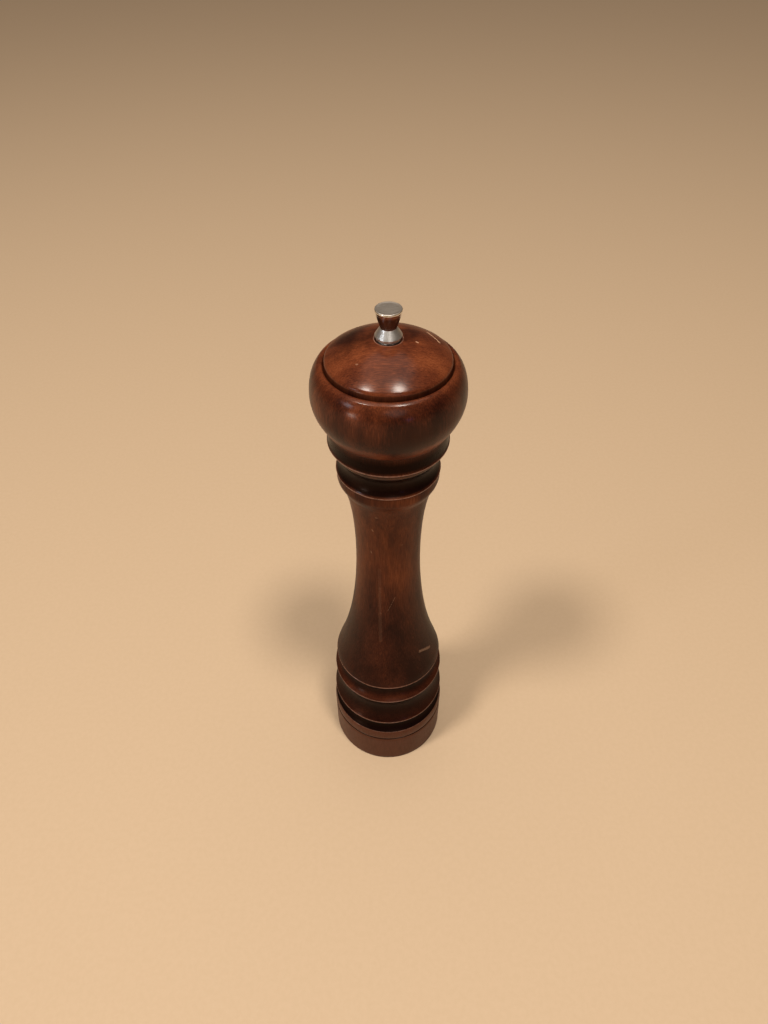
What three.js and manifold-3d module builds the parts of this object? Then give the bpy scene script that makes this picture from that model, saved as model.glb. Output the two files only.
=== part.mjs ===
// A turned walnut pepper mill with a steel finial nut and a steel grinding mechanism.
// Millimetres, +Z up along the turning axis, origin at the centre of the foot's flat underside.
import * as THREE from "three";
import { mergeVertices } from "three/addons/utils/BufferGeometryUtils.js";
import Module from "manifold-3d";

const wasm = await Module();
wasm.setup();

// ---- Driving dimensions ----
const TOTAL_HEIGHT = 254;
const FOOT_RADIUS = 28.4;
const GAP = 0.3; // between pieces that touch on the real mill
const SMALL_EDGE = 0.5; // width of a softened wooden edge

const BODY_TOP = 199.5;
const SOCKET_RADIUS = 13.1; // takes the head's tenon
const SOCKET_FLOOR = 184;
const CHAMBER_RADIUS = 10; // holds the peppercorns
const BURR_BORE_RADIUS = 14;
const BURR_BORE_TOP = 36;
const RECESS_RADIUS = 20.3; // in the foot, for the crossbar
const RECESS_DEPTH = 9;
const WAIST_Z = 141;
const WAIST_RADIUS = 13.7;

const HEAD_BOTTOM = 199.9;
const TENON_RADIUS = 12.7;
const TENON_BOTTOM = 186.4;
const COLLAR_RADIUS = 22.95;
const BULB_RADIUS = 27.95;
const BULB_Z = 222.2;
const DOME_RADIUS = 36; // of the spherical cap on top
const DOME_TOP = 243.3;
const HEAD_BORE_RADIUS = 3.8;

const SPINDLE_WIDTH = 4.8; // square steel bar
const JOURNAL_RADIUS = 2;
const JOURNAL_TOP = 12;
const SPINDLE_BOTTOM = 3.6;
const THREAD_BOTTOM = 236;
const SPINDLE_TOP = 249;
const SQUARE_HOLE = 5.2;

const BURR_TEETH = 12;
const STATOR_HEIGHT = 13;
const STATOR_TOP = RECESS_DEPTH + STATOR_HEIGHT;
const ROTOR_BOTTOM = 8.8;
const ROTOR_TOP = 20;

const BAR_THICKNESS = 1.6;
const BAR_SCREW_X = 16.8; // crossbar screws, either side of the axis
const PLATE_RADIUS = 11.8;
const PLATE_THICKNESS = 1.5;
const PLATE_SCREW_X = 7.2; // drive plate screws
const BAR_SCREW = { headRadius: 2.8, shankRadius: 1.3, length: 13 };
const PLATE_SCREW = { headRadius: 2.3, shankRadius: 1.2, length: 11.5 };

const ROUND = 40; // facets round a large turned piece
const FINE = 24; // facets round a small one

// ---- Finishes ----
const finish = (color, roughness, metalness) =>
  new THREE.MeshStandardMaterial({ color, roughness, metalness });
const walnut = () => finish(0x4a2817, 0.32, 0);
const polishedSteel = () => finish(0xc9c6c2, 0.18, 1);
const brushedSteel = () => finish(0x9c9a98, 0.38, 1);
const burrSteel = () => finish(0x6e6c6b, 0.45, 1);
const springSteel = () => finish(0x8a8886, 0.3, 1);
const brass = () => finish(0xb08d4c, 0.35, 1);

// ---- Solids ----
// A closed three.js geometry as a solid that can be cut and joined.
function solid(geometry) {
  const bare = geometry.clone();
  bare.deleteAttribute("normal");
  bare.deleteAttribute("uv");
  const merged = mergeVertices(bare, 1e-4);
  return new wasm.Manifold(
    new wasm.Mesh({
      numProp: 3,
      vertProperties: merged.attributes.position.array,
      triVerts: new Uint32Array(merged.index.array),
    }),
  );
}

function geometryOf(body) {
  const cut = body.getMesh();
  const geometry = new THREE.BufferGeometry();
  geometry.setAttribute("position", new THREE.BufferAttribute(cut.vertProperties, 3));
  geometry.setIndex(new THREE.BufferAttribute(cut.triVerts, 1));
  return geometry;
}

// Turns an outline of radius (x) and height (y) round the Z axis. The outline runs
// anticlockwise: up the outside, then back down the inside or the axis.
function turned(outline, facets, divisions = 4) {
  const points = Array.isArray(outline) ? outline : outline.getPoints(divisions);
  const endsOnAxis = points[0].x === 0 && points.at(-1).x === 0;
  const closed = endsOnAxis || points[0].distanceTo(points.at(-1)) < 1e-6;
  const run = closed ? points : [...points, points[0]];
  return new THREE.LatheGeometry(run, facets).rotateX(Math.PI / 2);
}

const vec = (x, y) => new THREE.Vector2(x, y);

// A plain upright cylinder between two heights, as a cutter or a pin.
function cylinder(radius, bottom, top, facets = FINE) {
  return new THREE.CylinderGeometry(radius, radius, top - bottom, facets)
    .rotateX(Math.PI / 2)
    .translate(0, 0, (top + bottom) / 2);
}

function box(width, depth, bottom, top) {
  return new THREE.BoxGeometry(width, depth, top - bottom).translate(0, 0, (top + bottom) / 2);
}

// An outline in the XZ plane, given a width along Y and centred on it.
function bent(outline, width) {
  return new THREE.ExtrudeGeometry(outline, { depth: width, bevelEnabled: false, curveSegments: 8 })
    .translate(0, 0, -width / 2)
    .rotateX(Math.PI / 2);
}

function part(name, shape, material) {
  const geometry = shape.isBufferGeometry ? shape : geometryOf(shape);
  const mesh = new THREE.Mesh(geometry, material);
  mesh.name = name;
  return mesh;
}

// A hollow between two turned arrises: from the pen's point to (radius, z), sunk by depth.
function cove(path, radius, z, depth) {
  const from = path.currentPoint;
  path.quadraticCurveTo((from.x + radius) / 2 - 2 * depth, (from.y + z) / 2, radius, z);
}

// ---- Wood ----
function millBody() {
  const outline = new THREE.Path();
  outline.moveTo(RECESS_RADIUS, 0);
  outline.lineTo(FOOT_RADIUS - SMALL_EDGE, 0);
  outline.lineTo(FOOT_RADIUS, SMALL_EDGE);
  outline.lineTo(FOOT_RADIUS, 20.3);
  outline.lineTo(FOOT_RADIUS - 0.5, 20.7); // cut line above the foot
  outline.lineTo(FOOT_RADIUS - 0.1, 21.1);
  outline.quadraticCurveTo(FOOT_RADIUS + 0.1, 24.3, 28.1, 27.4); // low bead
  cove(outline, 27.6, 36.2, 1.9);
  outline.lineTo(27.6, 36.8);
  cove(outline, 26.7, 54.9, 2.9);
  outline.lineTo(26.7, 55.5);
  cove(outline, 25.5, 65.8, 2.1);
  outline.lineTo(25.6, 66.3);
  outline.quadraticCurveTo(25.08, 68.4, 24.15, 71); // shoulder under the flare
  outline.bezierCurveTo(14.72, 97.5, WAIST_RADIUS, 129, WAIST_RADIUS, WAIST_Z);
  outline.bezierCurveTo(WAIST_RADIUS, 154.4, 14.45, 168.4, 17.6, 178.2);
  outline.bezierCurveTo(18.1, 179.7, 19.6, 181.4, 20, 183.6); // swells to the upper ring
  outline.lineTo(20.2, 187.3);
  outline.lineTo(20.05, 187.9);
  cove(outline, 20.6, 197.6, 1.8);
  outline.lineTo(20.9, 198.1);
  outline.lineTo(20.9, BODY_TOP);
  outline.lineTo(SOCKET_RADIUS, BODY_TOP);
  outline.lineTo(SOCKET_RADIUS, SOCKET_FLOOR);
  outline.lineTo(CHAMBER_RADIUS, SOCKET_FLOOR);
  outline.lineTo(CHAMBER_RADIUS, BURR_BORE_TOP + 3);
  outline.lineTo(BURR_BORE_RADIUS, BURR_BORE_TOP);
  outline.lineTo(BURR_BORE_RADIUS, RECESS_DEPTH);
  outline.lineTo(RECESS_RADIUS, RECESS_DEPTH);
  outline.lineTo(RECESS_RADIUS, 0);
  let wood = solid(turned(outline, ROUND));
  for (const side of [-1, 1]) {
    const pilot = cylinder(1.6, RECESS_DEPTH - 1, 20.6, 12).translate(side * BAR_SCREW_X, 0, 0);
    wood = wood.subtract(solid(pilot));
  }
  return part("mill_body", wood, walnut());
}

function millHead() {
  const seatRadius = 4.6; // recess for the washer under the finial
  const seatFloor = 242;
  const domeCentre = DOME_TOP - DOME_RADIUS;
  const capRadius = 21.3; // where the cap rolls over into its edge
  const capEdge = Math.acos(capRadius / DOME_RADIUS);
  const capTop = Math.acos(seatRadius / DOME_RADIUS);
  const outline = new THREE.Path();
  outline.moveTo(HEAD_BORE_RADIUS, TENON_BOTTOM);
  outline.lineTo(TENON_RADIUS - SMALL_EDGE, TENON_BOTTOM);
  outline.lineTo(TENON_RADIUS, TENON_BOTTOM + SMALL_EDGE);
  outline.lineTo(TENON_RADIUS, HEAD_BOTTOM);
  outline.lineTo(21.2, HEAD_BOTTOM);
  outline.quadraticCurveTo(22.4, 200.3, COLLAR_RADIUS, 201.2);
  outline.lineTo(COLLAR_RADIUS, 201.6);
  outline.quadraticCurveTo(22.5, 203, 22.6, 208.7); // collar
  outline.lineTo(23.1, 209.1);
  outline.bezierCurveTo(25, 212.3, BULB_RADIUS, 216.8, BULB_RADIUS, BULB_Z);
  outline.bezierCurveTo(BULB_RADIUS, 227.5, 26.7, 230.8, 24.9, 232.9);
  outline.quadraticCurveTo(23.9, 234.2, 22.9, 233.6); // rim bead
  outline.lineTo(22.35, 232.9); // crease
  outline.lineTo(22.1, 235.2);
  outline.quadraticCurveTo(22, 235.9, capRadius, domeCentre + DOME_RADIUS * Math.sin(capEdge));
  outline.absarc(0, domeCentre, DOME_RADIUS, capEdge, capTop, false);
  outline.lineTo(seatRadius, seatFloor);
  outline.lineTo(HEAD_BORE_RADIUS, seatFloor);
  outline.lineTo(HEAD_BORE_RADIUS, TENON_BOTTOM);
  let wood = solid(turned(outline, ROUND));
  for (const side of [-1, 1]) {
    const pilot = cylinder(1.5, TENON_BOTTOM - 1, 196.6, 12).translate(side * PLATE_SCREW_X, 0, 0);
    wood = wood.subtract(solid(pilot));
  }
  return part("mill_head", wood, walnut());
}

// ---- Finial ----
function finialNut() {
  const outline = new THREE.Path();
  outline.moveTo(0, 250.9); // end of the threaded hole
  outline.lineTo(2.25, 250.2);
  outline.lineTo(2.25, 243.4);
  outline.lineTo(4.4, 243.4);
  outline.lineTo(4.4, 244.1); // foot band
  outline.lineTo(4.75, 244.4);
  outline.lineTo(2.85, 247.3); // skirt, in to the waist
  outline.bezierCurveTo(3.25, 248.8, 4.1, 250.9, 4.45, TOTAL_HEIGHT - 1);
  outline.quadraticCurveTo(4.7, TOTAL_HEIGHT, 4.2, TOTAL_HEIGHT); // rolled rim
  outline.lineTo(0, TOTAL_HEIGHT);
  return part("finial_nut", turned(outline, FINE), polishedSteel());
}

function finialWasher() {
  const outline = [vec(2.3, 242.3), vec(4.2, 242.3), vec(4.2, 243.1), vec(2.3, 243.1)];
  return part("finial_washer", turned(outline, FINE), brushedSteel());
}

// ---- Drive ----
function drivePlate() {
  const top = TENON_BOTTOM - GAP;
  const bottom = top - PLATE_THICKNESS;
  let plate = solid(cylinder(PLATE_RADIUS, bottom, top, 40));
  plate = plate.subtract(solid(box(SQUARE_HOLE, SQUARE_HOLE, bottom - 1, top + 1)));
  for (const side of [-1, 1]) {
    const hole = cylinder(1.6, bottom - 1, top + 1, 12).translate(side * PLATE_SCREW_X, 0, 0);
    plate = plate.subtract(solid(hole));
  }
  return part("drive_plate", plate, brushedSteel());
}

// A wood screw standing head down, its head's top side at height z, with a cross cut in the head.
function woodScrew(name, x, z, { headRadius, shankRadius, length }) {
  const headHeight = 1.4;
  const outline = [
    vec(0, z - headHeight),
    vec(headRadius * 0.7, z - headHeight),
    vec(headRadius, z - headHeight * 0.45),
    vec(headRadius, z),
    vec(shankRadius, z),
    vec(shankRadius, z + length * 0.7),
    vec(0, z + length),
  ];
  let screw = solid(turned(outline, 20));
  const slotDepth = headHeight * 0.55;
  const slot = box(headRadius * 1.2, headRadius * 0.28, z - headHeight - 1, z - headHeight + slotDepth);
  screw = screw.subtract(solid(slot)).subtract(solid(slot.clone().rotateZ(Math.PI / 2)));
  return part(name, geometryOf(screw).translate(x, 0, 0), brushedSteel());
}

function spindle() {
  const square = solid(box(SPINDLE_WIDTH, SPINDLE_WIDTH, JOURNAL_TOP, THREAD_BOTTOM));
  const grooveRadius = 1.5; // takes the retaining clip
  const journal = [
    vec(0, SPINDLE_BOTTOM),
    vec(JOURNAL_RADIUS - 0.3, SPINDLE_BOTTOM),
    vec(JOURNAL_RADIUS, SPINDLE_BOTTOM + 0.3),
    vec(JOURNAL_RADIUS, 9.9),
    vec(grooveRadius, 9.9),
    vec(grooveRadius, 10.9),
    vec(JOURNAL_RADIUS, 10.9),
    vec(JOURNAL_RADIUS, JOURNAL_TOP + 1),
    vec(0, JOURNAL_TOP + 1),
  ];
  const thread = [vec(0, THREAD_BOTTOM - 1)];
  const pitch = 0.7;
  const turns = Math.floor((SPINDLE_TOP - THREAD_BOTTOM - 1) / pitch);
  for (let i = 0; i <= turns; i += 1) {
    const z = THREAD_BOTTOM - (i === 0 ? 1 : 0) + i * pitch;
    thread.push(vec(1.65, z));
    thread.push(vec(2, THREAD_BOTTOM + (i + 0.5) * pitch));
  }
  thread.push(vec(1.5, SPINDLE_TOP), vec(0, SPINDLE_TOP));
  const bar = square.add(solid(turned(journal, 20))).add(solid(turned(thread, 16)));
  return part("spindle", bar, brushedSteel());
}

// ---- Burrs ----
// Cuts teeth in a turned blank by moving the points of the grinding face in and out.
// spiral is the twist in radians from bottom to top; on(r, z) says whether a point is on the face.
function cutTeeth(blank, depth, spiral, bottom, top, on) {
  const place = blank.attributes.position;
  for (let i = 0; i < place.count; i += 1) {
    const x = place.getX(i);
    const y = place.getY(i);
    const z = place.getZ(i);
    const r = Math.hypot(x, y);
    if (on(r, z)) {
      const up = (z - bottom) / (top - bottom);
      const turn = Math.atan2(y, x) + spiral * up;
      const toothDepth = depth * (0.45 + 1.2 * up);
      const wave = Math.abs(((((turn * BURR_TEETH) / (2 * Math.PI)) % 1) + 1) % 1 - 0.5) * 2;
      const k = (r + toothDepth * wave) / r;
      place.setXY(i, x * k, y * k);
    }
  }
  return blank;
}

function stator() {
  const outer = BURR_BORE_RADIUS - GAP;
  const outline = [
    vec(outer, RECESS_DEPTH),
    vec(outer, STATOR_TOP),
    vec(12.2, STATOR_TOP),
    vec(11.4, STATOR_TOP - 0.8),
    vec(10.6, 19),
    vec(9.5, 15.5),
    vec(9.6, 14),
    vec(10.2, 11.8),
    vec(10.95, RECESS_DEPTH),
  ];
  const blank = turned(outline, BURR_TEETH * 4, 1);
  const face = (r, z) => r < 12 && z < STATOR_TOP - 0.1;
  const ring = cutTeeth(blank, 0.7, 0, RECESS_DEPTH, STATOR_TOP, face);
  return part("stator_burr", solid(ring), burrSteel());
}

function rotor() {
  const hubRadius = 6.4; // recess underneath for the washer and clip
  const hubFloor = 12;
  const outline = [
    vec(hubRadius, ROTOR_BOTTOM),
    vec(10.3, ROTOR_BOTTOM),
    vec(9.6, 11.6),
    vec(8.8, 14.2),
    vec(7.2, 17),
    vec(5.4, ROTOR_TOP - 0.6),
    vec(4.9, ROTOR_TOP),
    vec(2.2, ROTOR_TOP),
    vec(2.2, hubFloor),
    vec(hubRadius, hubFloor),
  ];
  const blank = turned(outline, BURR_TEETH * 4, 1);
  const face = (r, z) => r > 5.2 && z < ROTOR_TOP - 0.1 && !(r < hubRadius + 0.1 && z < hubFloor + 0.1);
  const teeth = cutTeeth(blank, -0.9, 0.9, ROTOR_BOTTOM, ROTOR_TOP, face);
  const hole = SPINDLE_WIDTH + 0.1;
  const cone = solid(teeth).subtract(solid(box(hole, hole, hubFloor - 0.05, ROTOR_TOP + 1)));
  return part("rotor_burr", cone, burrSteel());
}

function rotorWasher() {
  const outline = [vec(2.2, 11.1), vec(4.6, 11.1), vec(4.6, 11.75), vec(2.2, 11.75)];
  return part("rotor_washer", turned(outline, FINE), brushedSteel());
}

// An open ring that snaps into the journal's groove.
function retainingClip() {
  const outline = [vec(1.6, 10.1), vec(3.6, 10.1), vec(3.6, 10.7), vec(1.6, 10.7)];
  const ring = solid(turned(outline, FINE));
  const mouth = new THREE.BoxGeometry(2.6, 4, 2).translate(0, 3, 10.4);
  return part("retaining_clip", ring.subtract(solid(mouth)), springSteel());
}

// ---- Bracket, spring and crossbar ----
const BRACKET_TOP = 34.6;
const BRACKET_THICKNESS = 1.3;
const BRACKET_WIDTH = 11;

// An inverted U that stands on the stator and takes the spring's push.
function springBracket() {
  const half = 11.8;
  const inner = half - BRACKET_THICKNESS;
  const foot = STATOR_TOP + GAP;
  const outline = new THREE.Shape();
  outline.moveTo(-half, foot);
  outline.lineTo(-inner, foot);
  outline.lineTo(-inner, BRACKET_TOP - 3);
  outline.quadraticCurveTo(-inner, BRACKET_TOP - BRACKET_THICKNESS, -9, BRACKET_TOP - BRACKET_THICKNESS);
  outline.lineTo(9, BRACKET_TOP - BRACKET_THICKNESS);
  outline.quadraticCurveTo(inner, BRACKET_TOP - BRACKET_THICKNESS, inner, BRACKET_TOP - 3);
  outline.lineTo(inner, foot);
  outline.lineTo(half, foot);
  outline.lineTo(half, BRACKET_TOP - 3);
  outline.quadraticCurveTo(half, BRACKET_TOP, 9, BRACKET_TOP);
  outline.lineTo(-9, BRACKET_TOP);
  outline.quadraticCurveTo(-half, BRACKET_TOP, -half, BRACKET_TOP - 3);
  outline.lineTo(-half, foot);
  const strip = solid(bent(outline, BRACKET_WIDTH));
  const hole = solid(cylinder(3.8, BRACKET_TOP - 3, BRACKET_TOP + 1));
  return part("spring_bracket", strip.subtract(hole), brushedSteel());
}

const WASHER_TOP = BRACKET_TOP - BRACKET_THICKNESS - GAP;
const WASHER_THICKNESS = 0.9;

function thrustWasher() {
  const bottom = WASHER_TOP - WASHER_THICKNESS;
  const disc = solid(cylinder(6.2, bottom, WASHER_TOP));
  const hole = solid(box(SQUARE_HOLE, SQUARE_HOLE, bottom - 1, WASHER_TOP + 1));
  return part("thrust_washer", disc.subtract(hole), brass());
}

class Helix extends THREE.Curve {
  constructor(radius, bottom, top, turns) {
    super();
    Object.assign(this, { radius, bottom, top, turns });
  }

  getPoint(t, target = new THREE.Vector3()) {
    const angle = 2 * Math.PI * this.turns * t;
    const z = this.bottom + (this.top - this.bottom) * t;
    return target.set(this.radius * Math.cos(angle), this.radius * Math.sin(angle), z);
  }
}

function spring() {
  const wire = 0.5;
  const turns = 5;
  const bottom = ROTOR_TOP + GAP + wire;
  const top = WASHER_TOP - WASHER_THICKNESS - GAP - wire;
  const section = new THREE.Shape().absarc(0, 0, wire, 0, 2 * Math.PI, false);
  const coil = new THREE.ExtrudeGeometry(section, {
    steps: turns * 16,
    curveSegments: 3,
    extrudePath: new Helix(4.4, bottom, top, turns),
  });
  return part("spring", solid(coil), springSteel());
}

// A bar across the foot's recess: its ends bear on the wood and hold the stator up, and its
// middle is dropped clear of the rotor and guides the foot of the spindle.
function crossbar() {
  const half = 19;
  const padTop = RECESS_DEPTH - GAP;
  const drop = 2.5;
  const padInner = 13.4;
  const dropOuter = 11.6;
  const outline = new THREE.Shape();
  outline.moveTo(-half, padTop);
  outline.lineTo(-half, padTop - BAR_THICKNESS);
  outline.lineTo(-padInner - 0.4, padTop - BAR_THICKNESS);
  outline.lineTo(-dropOuter - 0.4, padTop - BAR_THICKNESS - drop);
  outline.lineTo(dropOuter + 0.4, padTop - BAR_THICKNESS - drop);
  outline.lineTo(padInner + 0.4, padTop - BAR_THICKNESS);
  outline.lineTo(half, padTop - BAR_THICKNESS);
  outline.lineTo(half, padTop);
  outline.lineTo(padInner, padTop);
  outline.lineTo(dropOuter, padTop - drop);
  outline.lineTo(-dropOuter, padTop - drop);
  outline.lineTo(-padInner, padTop);
  outline.lineTo(-half, padTop);
  let bar = solid(bent(outline, 9));
  bar = bar.subtract(solid(cylinder(JOURNAL_RADIUS + 0.35, 0, padTop + 1)));
  for (const side of [-1, 1]) {
    const hole = cylinder(1.7, 0, padTop + 1, 12).translate(side * BAR_SCREW_X, 0, 0);
    bar = bar.subtract(solid(hole));
  }
  return part("crossbar", bar, brushedSteel());
}

// ---- Assembly ----
const mill = new THREE.Group();
mill.name = "pepper_mill";
mill.add(millBody(), millHead(), finialNut(), finialWasher(), drivePlate());
mill.add(spindle(), rotor(), stator(), rotorWasher(), retainingClip());
mill.add(springBracket(), thrustWasher(), spring(), crossbar());

const plateUnderside = TENON_BOTTOM - GAP - PLATE_THICKNESS - GAP;
const barUnderside = RECESS_DEPTH - GAP - BAR_THICKNESS - GAP;
[-1, 1].forEach((side, i) => {
  const number = i + 1;
  const plateX = side * PLATE_SCREW_X;
  mill.add(woodScrew(`drive_plate_screw_${number}`, plateX, plateUnderside, PLATE_SCREW));
  mill.add(woodScrew(`crossbar_screw_${number}`, side * BAR_SCREW_X, barUnderside, BAR_SCREW));
});

export default mill;
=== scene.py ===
"""A turned, dark-stained pepper mill: wooden body and head, steel finial and steel mechanism."""
import math

import bmesh
import bpy
from mathutils import Euler, Matrix, Vector


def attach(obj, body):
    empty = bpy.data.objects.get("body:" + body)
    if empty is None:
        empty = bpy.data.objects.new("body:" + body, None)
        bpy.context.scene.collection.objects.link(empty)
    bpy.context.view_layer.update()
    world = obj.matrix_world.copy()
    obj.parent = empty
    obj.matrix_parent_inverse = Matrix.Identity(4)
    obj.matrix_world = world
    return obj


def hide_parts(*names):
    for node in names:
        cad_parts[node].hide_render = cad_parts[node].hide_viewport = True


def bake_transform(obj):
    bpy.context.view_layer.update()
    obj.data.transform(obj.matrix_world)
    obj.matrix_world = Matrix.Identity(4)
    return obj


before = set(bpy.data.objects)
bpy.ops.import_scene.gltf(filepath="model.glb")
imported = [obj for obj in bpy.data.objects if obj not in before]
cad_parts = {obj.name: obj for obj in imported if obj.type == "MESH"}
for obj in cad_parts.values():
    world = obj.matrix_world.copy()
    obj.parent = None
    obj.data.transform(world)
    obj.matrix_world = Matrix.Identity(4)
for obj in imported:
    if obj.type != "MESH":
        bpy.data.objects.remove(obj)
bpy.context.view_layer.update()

MM = 0.001
STEPS_ROUND = 128  # facets round a large turned piece
STEPS_SMALL = 64
STEPS_SCREW = 36


# ---------------------------------------------------------------- camera, light and floor
CAMERA_PLACE = (-1.75, -208.84, 371.47)  # millimetres
CAMERA_TILT = 44.7845  # degrees up from looking straight down
CAMERA_ROLL = -0.257
CAMERA_LENS = 25.24
CAMERA_SENSOR = 36

HEAD_PLACE = (0, 0, 0.2)  # where the lamps point, in metres
WARM_WHITE = (1, 0.92, 0.82)


def camera():
    """Seen from close by and well above, as a mill on a table is."""
    lens = bpy.data.cameras.new("camera")
    lens.sensor_width = CAMERA_SENSOR
    lens.lens = CAMERA_LENS
    eye = bpy.data.objects.new("camera", lens)
    place = Matrix.Translation(Vector(CAMERA_PLACE) * MM)
    tilt = Matrix.Rotation(math.radians(CAMERA_TILT), 4, "X")
    roll = Matrix.Rotation(math.radians(CAMERA_ROLL), 4, "Z")
    eye.matrix_world = place @ tilt @ roll
    bpy.context.collection.objects.link(eye)
    bpy.context.scene.camera = eye


def hang(light, place, facing):
    """Puts a light in the scene, at a place in metres and turned to face one way."""
    made = bpy.data.objects.new(light.name, light)
    made.location = place
    made.rotation_mode = "QUATERNION"
    made.rotation_quaternion = facing
    bpy.context.collection.objects.link(made)


def lamp(name, place, size, power, colour):
    """A round lamp pointed at the mill's head."""
    light = bpy.data.lights.new(name, "AREA")
    light.shape = "DISK"
    light.size = size
    light.energy = power
    light.color = colour
    hang(light, place, (Vector(HEAD_PLACE) - Vector(place)).to_track_quat("-Z", "Y"))


def soft_sky():
    """A wide, weak light from overhead that reaches the whole floor evenly."""
    sky = bpy.data.lights.new("soft_overhead", "SUN")
    sky.energy = 0.85
    sky.angle = math.radians(50)
    sky.color = (1, 0.92, 0.83)
    hang(sky, (0, 0, 0), Euler((math.radians(-10), 0, 0)).to_quaternion())


def studio():
    lamp("overhead_left", (-0.62, -0.38, 1.55), 0.26, 13, WARM_WHITE)
    lamp("overhead_right", (0.27, -0.38, 1.55), 0.26, 13, WARM_WHITE)
    soft_sky()
    lamp("low_glint", (-0.92, -0.79, 0.2), 0.2, 1.3, (1, 0.9, 0.8))
    lamp("blue_glint", (0.68, -1.34, 0.21), 0.12, 0.25, (0.5, 0.4, 1))
    lamp("card", (0.25, -1.5, 0.95), 0.8, 2.2, (1, 0.95, 0.88))
    lamp("window", (-1.3, -0.75, 0.85), 0.3, 2.5, (0.8, 0.88, 1))
    world = bpy.data.worlds.new("studio")
    world.use_nodes = True
    backdrop = world.node_tree.nodes["Background"]
    backdrop.inputs["Color"].default_value = (0.58, 0.44, 0.33, 1)
    backdrop.inputs["Strength"].default_value = 0.16
    bpy.context.scene.world = world
    bpy.context.scene.view_settings.view_transform = "Standard"


def floor(finish):
    bm = bmesh.new()
    bmesh.ops.create_circle(bm, cap_ends=True, radius=30, segments=96)
    piece("floor", bm, finish)


# ---------------------------------------------------------------- shader maths
MIX_AMOUNT, MIX_FIRST, MIX_SECOND, MIX_COLOUR = 0, 6, 7, 2  # sockets of the colour mixer


class Value:
    """A shader socket that is added, multiplied and compared like a number."""

    def __init__(self, finish, socket):
        self.finish = finish
        self.socket = socket

    def maths(self, operation, first, second):
        return self.finish.node("ShaderNodeMath", {0: first, 1: second}, operation=operation)

    def __add__(self, other):
        return self.maths("ADD", self, other)

    def __sub__(self, other):
        return self.maths("SUBTRACT", self, other)

    def __rsub__(self, other):
        return self.maths("SUBTRACT", other, self)

    def __mul__(self, other):
        return self.maths("MULTIPLY", self, other)

    __radd__ = __add__

    def ramp(self, low, high, to_low=0.0, to_high=1.0):
        """Smoothly from to_low at or under low, to to_high at or over high."""
        return self.finish.node("ShaderNodeMapRange", {
            "Value": self, "From Min": low, "From Max": high, "To Min": to_low, "To Max": to_high,
        }, interpolation_type="SMOOTHSTEP")


class Finish:
    """A material whose nodes are made by expressions."""

    def __init__(self, name):
        self.material = bpy.data.materials.new(name)
        self.material.use_nodes = True
        self.tree = self.material.node_tree
        self.tree.nodes.clear()

    def node(self, kind, inputs, output=0, stops=(), **settings):
        """Any node: its settings are set first, then its sockets' values or links."""
        made = self.tree.nodes.new(kind)
        for key, value in settings.items():
            setattr(made, key, value)
        if stops:
            set_stops(made.color_ramp, stops)
        for key, value in inputs.items():
            if isinstance(value, Value):
                self.tree.links.new(value.socket, made.inputs[key])
            else:
                made.inputs[key].default_value = value
        return Value(self, made.outputs[output])

    def place(self, scale=(1, 1, 1), move=(0, 0, 0)):
        """The piece's own coordinates in millimetres, then scaled and moved."""
        own = self.node("ShaderNodeTexCoord", {}, output="Object")
        per_mm = [s / MM for s in scale]
        return self.node("ShaderNodeMapping", {"Vector": own, "Scale": per_mm, "Location": move})

    def axis(self, name):
        """One of the piece's own coordinates in millimetres."""
        return self.node("ShaderNodeSeparateXYZ", {0: self.place()}, output=name)

    def vector_maths(self, operation, inputs, output="Vector"):
        return self.node("ShaderNodeVectorMath", inputs, output, operation=operation)

    def distance(self, first, second):
        return self.vector_maths("DISTANCE", {0: first, 1: second}, "Value")

    def noise(self, where, scale=1.0, detail=3.0, roughness=0.5):
        return self.node("ShaderNodeTexNoise", {
            "Vector": where, "Scale": scale, "Detail": detail, "Roughness": roughness})

    def attribute(self, name):
        return self.node("ShaderNodeAttribute", {}, output="Fac", attribute_name=name)

    def mix(self, amount, first, second):
        """Two colours mixed by an amount from 0 to 1."""
        first, second = (colour if isinstance(colour, Value) else (*colour, 1)
                         for colour in (first, second))
        inputs = {MIX_AMOUNT: amount, MIX_FIRST: first, MIX_SECOND: second}
        return self.node("ShaderNodeMix", inputs, output=MIX_COLOUR, data_type="RGBA")

    def surface(self, bump, **sockets):
        """The closing shader. bump is (height, strength, distance in mm)."""
        height, strength, distance = bump
        normal = self.node("ShaderNodeBump", {
            "Height": height, "Strength": strength, "Distance": distance * MM})
        inputs = {key.replace("_", " "): value for key, value in sockets.items()}
        shader = self.node("ShaderNodeBsdfPrincipled", {**inputs, "Normal": normal})
        out = self.tree.nodes.new("ShaderNodeOutputMaterial")
        self.tree.links.new(shader.socket, out.inputs["Surface"])
        return self.material


def set_stops(ramp, stops):
    while len(ramp.elements) < len(stops):
        ramp.elements.new(0.5)
    for element, (at, colour) in zip(ramp.elements, stops):
        element.position = at
        element.color = (*colour, 1)


# ---------------------------------------------------------------- stain and wear of the wood, with painted shade and highlights
EMBER = (0.31, 0.085, 0.024)  # red glow of the grain through the stain
FOOT_BROWN = (0.115, 0.039, 0.020)
PORE_BROWN = (0.010, 0.0030, 0.002)
# Painted shade for coves, grooves and the collar.
PAINTED_COVE_SHADE = (0.0040, 0.0016, 0.0013)
# A worn arris, lightened partly by real wear and partly by a painted highlight.
WORN_WOOD_AND_SHEEN = (0.36, 0.18, 0.12)
RAW_WOOD = (0.26, 0.135, 0.066)
SCARRED_WOOD = (0.58, 0.33, 0.20)
LACQUER_TINT = (1, 0.56, 0.33, 1)

DARK_STAIN = [
    (0.28, (0.0130, 0.0028, 0.0016)),
    (0.42, (0.0330, 0.0075, 0.0036)),
    (0.56, (0.0700, 0.0170, 0.0070)),
    (0.75, (0.1400, 0.0380, 0.0130)),
]
RED_STAIN = [
    (0.28, (0.0150, 0.0030, 0.0016)),
    (0.42, (0.0480, 0.0100, 0.0042)),
    (0.56, (0.1150, 0.0270, 0.0100)),
    (0.75, (0.2300, 0.0650, 0.0230)),
]

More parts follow.
